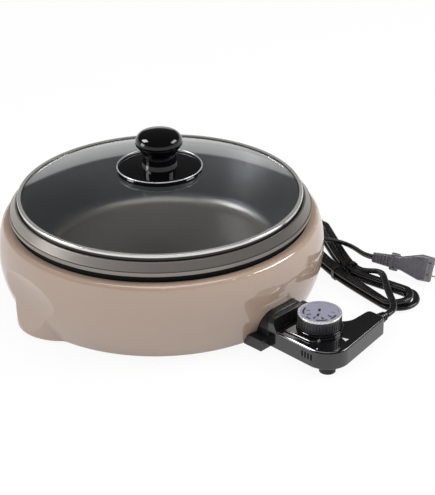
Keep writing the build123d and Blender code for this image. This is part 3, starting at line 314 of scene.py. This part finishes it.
def make_cord(material):
    """The flat twin cord, lying flat in the hank and turning on edge towards the plug."""
    path = smooth_line(cord_route())
    section = twin_section()
    left = [0.0]
    for here, there in zip(path[::-1], path[-2::-1]):
        left.append(left[-1] + (here - there).length)
    left.reverse()
    vertices = []
    for number, place in enumerate(path):
        along = (path[min(number + 1, len(path) - 1)] - path[max(number - 1, 0)]).normalized()
        flat = up.cross(along).normalized()
        share = max(0.0, 1 - left[number] / plug_turn_length)
        turn = plug_turn * share * share * (3 - 2 * share)
        wide = Matrix.Rotation(-turn, 3, along) @ flat
        thick = along.cross(wide)
        vertices += [place + wide * x + thick * y for x, y in section]
    sides = len(section)
    faces = []
    for ring in range(len(path) - 1):
        for side in range(sides):
            after = (side + 1) % sides
            low, high = ring * sides, (ring + 1) * sides
            faces.append((low + side, low + after, high + after, high + side))
    faces.append(tuple(range(sides))[::-1])
    faces.append(tuple(range(len(vertices) - sides, len(vertices))))
    cord = new_piece("mains_cord", vertices, faces, "controller", material)
    cord.data.shade_smooth()
    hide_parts("cord_lead", "cord_hank", "cord_plug_lead")


def deck_height(x, y):
    """Height of the control's top under a place."""
    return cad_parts["controller_upper"].ray_cast((x, y, probe_height), -up)[1].z


def figure_mesh(text):
    """Points and faces of a printed figure, centred on zero."""
    curve = bpy.data.curves.new("figure", "FONT")
    curve.body = text
    curve.size = figure_size
    curve.offset = figure_swell
    curve.align_x = "CENTER"
    curve.align_y = "CENTER"
    return curve_shape(curve)


def arc_mesh(reach, start, end):
    """Points and faces of an arc dash between two angles."""
    points = []
    for step in range(arc_steps + 1):
        angle = start + (end - start) * step / arc_steps
        for radius in (reach - arc_width / 2, reach + arc_width / 2):
            points.append(Vector((radius * cos(angle), radius * sin(angle), 0)))
    faces = [(2 * step, 2 * step + 1, 2 * step + 3, 2 * step + 2) for step in range(arc_steps)]
    return points, faces


def bar_mesh():
    """Points and faces of a short bar, centred on zero."""
    half_width, half_length = bar_size[0] / 2, bar_size[1] / 2
    corners = ((-1, -1), (1, -1), (1, 1), (-1, 1))
    return [Vector((x * half_width, y * half_length, 0)) for x, y in corners], [(0, 1, 2, 3)]


def make_disc_trim(material):
    """Painted highlight: a thin bright line round the upper edge of the plate under the lid's knob, standing
    in for the highlight on its edge.
    """
    low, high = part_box("knob_disc")
    reach = (high.x - low.x) / 2 - highlight_inset
    vertices, faces = [], []
    for step in range(highlight_steps):
        turn = 2 * pi * step / highlight_steps
        for corner in range(highlight_corners):
            angle = 2 * pi * corner / highlight_corners
            radius = reach + highlight_r * cos(angle)
            height = high.z - highlight_drop + highlight_r * sin(angle)
            vertices.append((radius * cos(turn), radius * sin(turn), height))
            after, above = (step + 1) % highlight_steps * highlight_corners, (corner + 1) % highlight_corners
            here = step * highlight_corners
            faces.append((here + corner, after + corner, after + above, here + above))
    highlight = new_piece("disc_highlight", vertices, faces, "lid", material)
    highlight.data.shade_smooth()


def make_dial_marks(material):
    """Plain figures, arc dashes and a two-bar pointer on the dial's face."""
    low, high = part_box("dial_face")
    centre = Vector(((low.x + high.x) / 2, (low.y + high.y) / 2, high.z + print_lift))
    reach = (high.x - low.x) / 2
    placed = []
    for number, angle in enumerate(figure_angles, 1):
        turn = radians(angle) + view_azimuth
        spot = Vector((cos(turn), sin(turn), 0)) * (reach * figure_share)
        placed.append((figure_mesh(str(number)), spot, turn - pi / 2))
    for start, end in arc_spans:
        placed.append((arc_mesh(reach * arc_share, radians(start), radians(end)), Vector(), view_azimuth))
    for x, y in bar_places:
        spot = Matrix.Rotation(view_azimuth, 3, "Z") @ Vector((x, y, 0))
        placed.append((bar_mesh(), spot, radians(bar_angle) + view_azimuth - pi / 2))
    vertices, faces = [], []
    for (points, sides), spot, turn in placed:
        start = len(vertices)
        spin = Matrix.Rotation(turn, 3, "Z")
        vertices += [centre + spot + spin @ point for point in points]
        faces += [tuple(start + corner for corner in side) for side in sides]
    new_piece("dial_marks", vertices, faces, "dial", material)


def make_deck_marks(material):
    """A pointer for the dial and a dot, printed on the control's top."""
    ends = (pointer_base[0] - pointer_half, pointer_base[0] + pointer_half)
    outline = [pointer_tip, (ends[0], pointer_base[1]), (ends[1], pointer_base[1])]
    turns = [2 * pi * corner / dot_corners for corner in range(dot_corners)]
    dot = [(dot_place[0] + dot_r * cos(turn), dot_place[1] + dot_r * sin(turn)) for turn in turns]
    vertices = [(x, y, deck_height(x, y) + print_lift) for x, y in outline + dot]
    faces = [tuple(range(len(outline))), tuple(range(len(outline), len(vertices)))]
    new_piece("deck_marks", vertices, faces, "controller", material)


def make_lamps():
    """Soft boxes aimed at the object. Some only light it or are only mirrored, and some leave solids out."""
    for name, place, size, energy, lights, mirrored, state, linked in lamps:
        light = bpy.data.lights.new(name, "AREA")
        light.shape = "RECTANGLE"
        light.size, light.size_y = size
        light.energy = energy
        lamp = bpy.data.objects.new(name, light)
        lamp.location = place
        lamp.rotation_euler = (lamp_target - lamp.location).to_track_quat("-Z", "Y").to_euler()
        lamp.visible_diffuse = lights
        lamp.visible_glossy = lamp.visible_transmission = mirrored
        if linked:
            receivers = bpy.data.collections.new(name)
            lamp.light_linking.receiver_collection = receivers
            for node in linked:
                receivers.objects.link(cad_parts[node])
            for entry in receivers.collection_objects:
                entry.light_linking.link_state = state
        scene.collection.objects.link(lamp)


def make_world():
    """Even ambient light. The camera sees white, and mirrors see a white backdrop under a dim ceiling."""
    world = bpy.data.worlds.new("studio")
    world.use_nodes = True
    scene.world = world
    nodes, links = world.node_tree.nodes, world.node_tree.links
    nodes.clear()
    ambient, mirrored, white = (nodes.new("ShaderNodeBackground") for _ in range(3))
    ambient.inputs["Color"].default_value = (1, 1, 1, 1)
    ambient.inputs["Strength"].default_value = ambient_strength
    white.inputs["Color"].default_value = (1, 1, 1, 1)
    direction = nodes.new("ShaderNodeTexCoord")
    parts = nodes.new("ShaderNodeSeparateXYZ")
    fade = nodes.new("ShaderNodeMapRange")
    fade.interpolation_type = "SMOOTHSTEP"
    fade.inputs["From Min"].default_value = backdrop_low
    fade.inputs["From Max"].default_value = backdrop_high
    fade.inputs["To Min"].default_value = 1
    fade.inputs["To Max"].default_value = ceiling_level
    path = nodes.new("ShaderNodeLightPath")
    mirror_rays = nodes.new("ShaderNodeMath")
    mirror_rays.operation = "MAXIMUM"
    first, second = nodes.new("ShaderNodeMixShader"), nodes.new("ShaderNodeMixShader")
    output = nodes.new("ShaderNodeOutputWorld")
    links.new(direction.outputs["Generated"], parts.inputs["Vector"])
    links.new(parts.outputs["Z"], fade.inputs["Value"])
    links.new(fade.outputs["Result"], mirrored.inputs["Color"])
    links.new(path.outputs["Is Glossy Ray"], mirror_rays.inputs[0])
    links.new(path.outputs["Is Transmission Ray"], mirror_rays.inputs[1])
    links.new(mirror_rays.outputs["Value"], first.inputs["Fac"])
    links.new(ambient.outputs["Background"], first.inputs[1])
    links.new(mirrored.outputs["Background"], first.inputs[2])
    links.new(path.outputs["Is Camera Ray"], second.inputs["Fac"])
    links.new(first.outputs["Shader"], second.inputs[1])
    links.new(white.outputs["Background"], second.inputs[2])
    links.new(second.outputs["Shader"], output.inputs["Surface"])


def make_floor():
    """A pale floor that looks white and keeps the object's shadow."""
    material = bpy.data.materials.new("floor")
    material.use_nodes = True
    nodes, links = material.node_tree.nodes, material.node_tree.links
    nodes.clear()
    matt = nodes.new("ShaderNodeBsdfDiffuse")
    matt.inputs["Color"].default_value = (floor_level, floor_level, floor_level, 1)
    glow = nodes.new("ShaderNodeEmission")
    path = nodes.new("ShaderNodeLightPath")
    seen, seen_or_through, share = (nodes.new("ShaderNodeMath") for _ in range(3))
    seen.operation = seen_or_through.operation = "MAXIMUM"
    share.operation = "MULTIPLY"
    share.inputs[1].default_value = floor_glow
    mix = nodes.new("ShaderNodeMixShader")
    output = nodes.new("ShaderNodeOutputMaterial")
    links.new(path.outputs["Is Camera Ray"], seen.inputs[0])
    links.new(path.outputs["Is Glossy Ray"], seen.inputs[1])
    links.new(seen.outputs["Value"], seen_or_through.inputs[0])
    links.new(path.outputs["Is Transmission Ray"], seen_or_through.inputs[1])
    links.new(seen_or_through.outputs["Value"], share.inputs[0])
    links.new(share.outputs["Value"], mix.inputs["Fac"])
    links.new(matt.outputs["BSDF"], mix.inputs[1])
    links.new(glow.outputs["Emission"], mix.inputs[2])
    links.new(mix.outputs["Shader"], output.inputs["Surface"])
    half = floor_size / 2
    mesh = bpy.data.meshes.new("floor")
    corners = [(-half, -half, 0), (half, -half, 0), (half, half, 0), (-half, half, 0)]
    mesh.from_pydata(corners, [], [(0, 1, 2, 3)])
    mesh.materials.append(material)
    floor = bpy.data.objects.new("floor", mesh)
    scene.collection.objects.link(floor)


def tint(*display):
    """Linear colour from display values out of 255, by the sRGB curve."""
    shares = (value / 255 for value in display)
    linear = (share / 12.92 if share <= 0.04045 else ((share + 0.055) / 1.055) ** 2.4 for share in shares)
    return (*linear, 1.0)


class Finish:
    """A material under construction, with its textures laid out in the metres of the frame."""

    def __init__(self, name, colour, roughness, metallic=0.0):
        self.material = bpy.data.materials.new(name)
        self.material.use_nodes = True
        self.nodes = self.material.node_tree.nodes
        self.links = self.material.node_tree.links
        self.shader = self.nodes["Principled BSDF"]
        self.colour = colour
        self.place = self.nodes.new("ShaderNodeTexCoord").outputs["Object"]
        self.set(**{"Base Color": colour, "Roughness": roughness, "Metallic": metallic})

    def set(self, **values):
        """Set sockets of the shader that are the same all over."""
        for socket, value in values.items():
            self.shader.inputs[socket.replace("_", " ")].default_value = value

    def turned(self):
        """Lay the textures out in rings round the pot's axis, as on a turned or spun piece."""
        parts = self.nodes.new("ShaderNodeSeparateXYZ")
        flat, length = self.nodes.new("ShaderNodeCombineXYZ"), self.nodes.new("ShaderNodeVectorMath")
        rings = self.nodes.new("ShaderNodeCombineXYZ")
        length.operation = "LENGTH"
        self.links.new(self.place, parts.inputs["Vector"])
        self.links.new(parts.outputs["X"], flat.inputs["X"])
        self.links.new(parts.outputs["Y"], flat.inputs["Y"])
        self.links.new(flat.outputs["Vector"], length.inputs[0])
        self.links.new(length.outputs["Value"], rings.inputs["X"])
        self.links.new(parts.outputs["Z"], rings.inputs["Z"])
        self.place = rings.outputs["Vector"]

    def noise(self, grain, detail=3):
        """Noise whose features are about as large as the grain."""
        noise = self.nodes.new("ShaderNodeTexNoise")
        noise.inputs["Scale"].default_value = 1 / grain
        noise.inputs["Detail"].default_value = detail
        self.links.new(self.place, noise.inputs["Vector"])
        return noise.outputs["Fac"]

    def ranged(self, source, low, high):
        """Spread a noise between two values."""
        spread = self.nodes.new("ShaderNodeMapRange")
        spread.inputs["From Min"].default_value = noise_low
        spread.inputs["From Max"].default_value = noise_high
        spread.inputs["To Min"].default_value = low
        spread.inputs["To Max"].default_value = high
        self.links.new(source, spread.inputs["Value"])
        return spread.outputs["Result"]

    def vary_roughness(self, grain, low, high):
        """Let the roughness wander between two values."""
        self.links.new(self.ranged(self.noise(grain), low, high), self.shader.inputs["Roughness"])

    def vary_colour(self, grain, share):
        """Shade the colour lighter and darker by a share."""
        mix = self.nodes.new("ShaderNodeMix")
        mix.data_type = "RGBA"
        mix.inputs[mix_first].default_value = (*(value * (1 - share) for value in self.colour[:3]), 1)
        mix.inputs[mix_second].default_value = (*(value * (1 + share) for value in self.colour[:3]), 1)
        self.links.new(self.ranged(self.noise(grain), 0, 1), mix.inputs[mix_share])
        self.links.new(mix.outputs[mix_result], self.shader.inputs["Base Color"])

    def graded(self, axis, start, end, far_colour):
        """Run along an axis from the colour so far, up to a start, to another colour past an end."""
        parts = self.nodes.new("ShaderNodeSeparateXYZ")
        fade = self.nodes.new("ShaderNodeMapRange")
        fade.interpolation_type = "SMOOTHSTEP"
        fade.inputs["From Min"].default_value = start
        fade.inputs["From Max"].default_value = end
        mix = self.nodes.new("ShaderNodeMix")
        mix.data_type = "RGBA"
        mix.inputs[mix_first].default_value = self.colour
        mix.inputs[mix_second].default_value = far_colour
        base = self.shader.inputs["Base Color"]
        if base.is_linked:
            self.links.new(base.links[0].from_socket, mix.inputs[mix_first])
        self.links.new(self.place, parts.inputs["Vector"])
        self.links.new(parts.outputs[axis], fade.inputs["Value"])
        self.links.new(fade.outputs["Result"], mix.inputs[mix_share])
        self.links.new(mix.outputs[mix_result], base)

    def pass_light(self):
        """Let light and mirrored light straight through to what is behind, as through a thin sheet."""
        path = self.nodes.new("ShaderNodeLightPath")
        lit, mirrored, lit_or_mirrored = (self.nodes.new("ShaderNodeMath") for _ in range(3))
        clear, mix = self.nodes.new("ShaderNodeBsdfTransparent"), self.nodes.new("ShaderNodeMixShader")
        lit.operation = lit_or_mirrored.operation = "MAXIMUM"
        mirrored.operation = "SUBTRACT"
        mirrored.use_clamp = True
        clear.inputs["Color"].default_value = self.colour
        self.links.new(path.outputs["Is Shadow Ray"], lit.inputs[0])
        self.links.new(path.outputs["Is Diffuse Ray"], lit.inputs[1])
        self.links.new(path.outputs["Is Glossy Ray"], mirrored.inputs[0])
        self.links.new(path.outputs["Is Transmission Ray"], mirrored.inputs[1])
        self.links.new(lit.outputs["Value"], lit_or_mirrored.inputs[0])
        self.links.new(mirrored.outputs["Value"], lit_or_mirrored.inputs[1])
        self.links.new(lit_or_mirrored.outputs["Value"], mix.inputs["Fac"])
        self.links.new(self.shader.outputs["BSDF"], mix.inputs[1])
        self.links.new(clear.outputs["BSDF"], mix.inputs[2])
        self.links.new(mix.outputs["Shader"], self.nodes["Material Output"].inputs["Surface"])

    def bump(self, grain, depth, strength=1.0):
        """Ruffle the surface a little."""
        bump = self.nodes.new("ShaderNodeBump")
        bump.inputs["Strength"].default_value = strength
        bump.inputs["Distance"].default_value = depth
        self.links.new(self.noise(grain), bump.inputs["Height"])
        self.links.new(bump.outputs["Normal"], self.shader.inputs["Normal"])


def dress(finish, *nodes):
    """Give solids of the frame a finish."""
    for node in nodes:
        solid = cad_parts[node]
        solid.data.materials.clear()
        solid.data.materials.append(finish.material)


def numbered(name):
    """Names of repeated solids."""
    return [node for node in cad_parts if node.startswith(f"{name}_")]


body_paint = Finish("taupe_gloss", tint(164, 143, 128), roughness=0.07)
body_paint.set(Specular_IOR_Level=1.0)
body_paint.vary_colour(grain=0.05, share=0.015)
body_paint.vary_roughness(grain=0.03, low=0.05, high=0.1)
body_paint.bump(grain=0.012, depth=0.00002, strength=0.15)
dress(body_paint, "housing")

satin_black = Finish("satin_black", tint(22, 22, 24), roughness=0.3)
satin_black.vary_colour(grain=0.01, share=0.1)
satin_black.vary_roughness(grain=0.012, low=0.24, high=0.36)
satin_black.bump(grain=0.0006, depth=0.00003, strength=0.5)
dress(satin_black, "terminal_block", "contact_carrier", "hank_tie")

control_black = Finish("control_black", tint(15, 15, 17), roughness=0.1)
control_black.set(Specular_IOR_Level=0.85)
control_black.vary_colour(grain=0.01, share=0.1)
control_black.vary_roughness(grain=0.012, low=0.08, high=0.13)
control_black.bump(grain=0.004, depth=0.00002, strength=0.12)
dress(control_black, "controller_upper", "controller_lower")

dial_black = Finish("dial_black", tint(40, 40, 44), roughness=0.28)
dial_black.vary_colour(grain=0.004, share=0.15)
dial_black.vary_roughness(grain=0.003, low=0.22, high=0.36)
dial_black.bump(grain=0.0006, depth=0.00003, strength=0.4)
dress(dial_black, "dial_knob")

guard_black = Finish("guard_black", tint(9, 9, 9), roughness=0.6)
guard_black.set(Specular_IOR_Level=0.2)
guard_black.vary_colour(grain=0.01, share=0.2)
guard_black.vary_roughness(grain=0.006, low=0.5, high=0.7)
guard_black.bump(grain=0.001, depth=0.00003)
dress(guard_black, "guard_ring")

gloss_black = Finish("gloss_black", tint(8, 8, 10), roughness=0.06)
gloss_black.set(Specular_IOR_Level=0.4)
gloss_black.vary_colour(grain=0.02, share=0.1)
gloss_black.vary_roughness(grain=0.02, low=0.04, high=0.09)
gloss_black.bump(grain=0.01, depth=0.00002, strength=0.2)
dress(gloss_black, "knob", "knob_disc", "dial_collar")

pan_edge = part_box("pan")[1].x
pan_coat = Finish("pan_coat", tint(120, 114, 109), roughness=0.3, metallic=0.6)
pan_coat.vary_colour(grain=0.0012, share=0.12)
pan_coat.turned()
pan_coat.graded("Z", pan_wall_low, pan_wall_high, tint(102, 103, 107))
pan_coat.graded("X", pan_edge - brim_start, pan_edge - brim_end, tint(140, 134, 129))
pan_coat.vary_roughness(grain=0.0015, low=0.3, high=0.4)
pan_coat.bump(grain=0.0012, depth=0.00004, strength=0.12)
dress(pan_coat, "pan")

bright_steel = Finish("bright_steel", tint(222, 222, 222), roughness=0.12, metallic=1.0)
bright_steel.turned()
bright_steel.vary_colour(grain=0.002, share=0.04)
bright_steel.vary_roughness(grain=0.0012, low=0.08, high=0.18)
bright_steel.bump(grain=0.0008, depth=0.00001, strength=0.3)
dress(bright_steel, "knob_screw", "knob_washer", "probe", "dial_shaft", "base_screws", "controller_screws")

lid_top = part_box("lid_rim")[1].z
lid_steel_and_painted_shade = Finish("lid_steel_and_painted_shade", tint(226, 224, 220), roughness=0.1, metallic=0.72)
# painted shade: the band's colour turns dark from a little below its top
lid_steel_and_painted_shade.graded("Z", lid_top - lid_painted_shade_start, lid_top - lid_painted_shade_full, tint(52, 50, 48))
lid_steel_and_painted_shade.turned()
lid_steel_and_painted_shade.vary_roughness(grain=0.0012, low=0.07, high=0.15)
lid_steel_and_painted_shade.bump(grain=0.003, depth=0.00001, strength=0.1)
dress(lid_steel_and_painted_shade, "lid_rim")

plain_sheet = Finish("plain_sheet", tint(178, 178, 176), roughness=0.38, metallic=1.0)
plain_sheet.vary_colour(grain=0.02, share=0.08)
plain_sheet.vary_roughness(grain=0.004, low=0.3, high=0.48)
plain_sheet.bump(grain=0.002, depth=0.00003, strength=0.4)
dress(plain_sheet, "base_plate", *numbered("reflector_post"), *numbered("heater_support"))

bright_sheet = Finish("bright_sheet", tint(214, 214, 212), roughness=0.22, metallic=1.0)
bright_sheet.turned()
bright_sheet.vary_colour(grain=0.004, share=0.05)
bright_sheet.vary_roughness(grain=0.002, low=0.16, high=0.3)
bright_sheet.bump(grain=0.0015, depth=0.00002, strength=0.4)
dress(bright_sheet, "reflector")

heater_sheath = Finish("heater_sheath", tint(86, 82, 78), roughness=0.48, metallic=0.8)
heater_sheath.vary_colour(grain=0.012, share=0.25)
heater_sheath.vary_roughness(grain=0.004, low=0.4, high=0.6)
heater_sheath.bump(grain=0.001, depth=0.00004, strength=0.5)
dress(heater_sheath, "heater")

ceramic = Finish("ceramic", tint(226, 220, 206), roughness=0.6)
ceramic.vary_colour(grain=0.004, share=0.05)
ceramic.vary_roughness(grain=0.002, low=0.5, high=0.7)
ceramic.bump(grain=0.0008, depth=0.00004, strength=0.5)
dress(ceramic, "heater_insulators", "thermostat")

brass = Finish("brass", tint(206, 174, 108), roughness=0.25, metallic=1.0)
brass.vary_colour(grain=0.004, share=0.08)
brass.vary_roughness(grain=0.002, low=0.18, high=0.34)
brass.bump(grain=0.001, depth=0.00002, strength=0.3)
dress(brass, "terminal_pins", "contact_sleeves")

plated_blade = Finish("plated_blade", tint(222, 220, 214), roughness=0.2, metallic=1.0)
plated_blade.vary_colour(grain=0.003, share=0.05)
plated_blade.vary_roughness(grain=0.0015, low=0.14, high=0.28)
plated_blade.bump(grain=0.0008, depth=0.00001, strength=0.3)
dress(plated_blade, "plug_blade_1", "plug_blade_2")

rubber = Finish("rubber", tint(24, 24, 25), roughness=0.6)
rubber.vary_colour(grain=0.006, share=0.12)
rubber.vary_roughness(grain=0.003, low=0.5, high=0.7)
rubber.bump(grain=0.0006, depth=0.00004, strength=0.5)
dress(rubber, "controller_foot", *numbered("foot"))

cord_sheath = Finish("cord_sheath", tint(13, 13, 14), roughness=0.26)
cord_sheath.vary_colour(grain=0.01, share=0.15)
cord_sheath.vary_roughness(grain=0.006, low=0.22, high=0.3)
cord_sheath.bump(grain=0.002, depth=0.00001, strength=0.15)
dress(cord_sheath, "strain_relief")

plug_grey = Finish("plug_grey", tint(90, 89, 96), roughness=0.34)
plug_grey.vary_colour(grain=0.004, share=0.12)
plug_grey.vary_roughness(grain=0.003, low=0.26, high=0.42)
plug_grey.bump(grain=0.0007, depth=0.00003, strength=0.5)
dress(plug_grey, "plug_body")

clear_glass = Finish("clear_glass", (0.97, 0.985, 0.98, 1), roughness=0.0)
clear_glass.set(IOR=1.5, Transmission_Weight=1.0)
clear_glass.vary_roughness(grain=0.03, low=0.0, high=0.012)
clear_glass.pass_light()
dress(clear_glass, "lid_glass")

bright_ring = Finish("bright_ring", tint(222, 222, 226), roughness=0.28, metallic=0.7)
bright_ring.vary_colour(grain=0.003, share=0.05)
bright_ring.vary_roughness(grain=0.0015, low=0.22, high=0.34)
bright_ring.bump(grain=0.0006, depth=0.00001, strength=0.3)
dress(bright_ring, "dial_ring")

dial_print = Finish("dial_print", tint(150, 151, 170), roughness=0.36, metallic=0.3)
dial_print.vary_colour(grain=0.001, share=0.1)
dial_print.vary_roughness(grain=0.002, low=0.32, high=0.48)
dial_print.bump(grain=0.0005, depth=0.00002, strength=0.4)
dress(dial_print, "dial_face")

dark_print = Finish("dark_print", tint(30, 30, 38), roughness=0.5)
dark_print.vary_colour(grain=0.0008, share=0.2)
dark_print.vary_roughness(grain=0.001, low=0.4, high=0.6)
dark_print.bump(grain=0.0004, depth=0.00001, strength=0.3)

pale_print = Finish("pale_print", tint(196, 196, 198), roughness=0.45)
pale_print.vary_colour(grain=0.0008, share=0.06)
pale_print.vary_roughness(grain=0.001, low=0.36, high=0.55)
pale_print.bump(grain=0.0004, depth=0.00001, strength=0.3)

make_camera()
make_cord(cord_sheath.material)
# painted highlight: a bright line round the edge of the plate under the knob
make_disc_trim(bright_ring.material)
make_dial_marks(dark_print.material)
make_deck_marks(pale_print.material)
make_lamps()
make_world()
make_floor()
scene.view_settings.view_transform = "Standard"
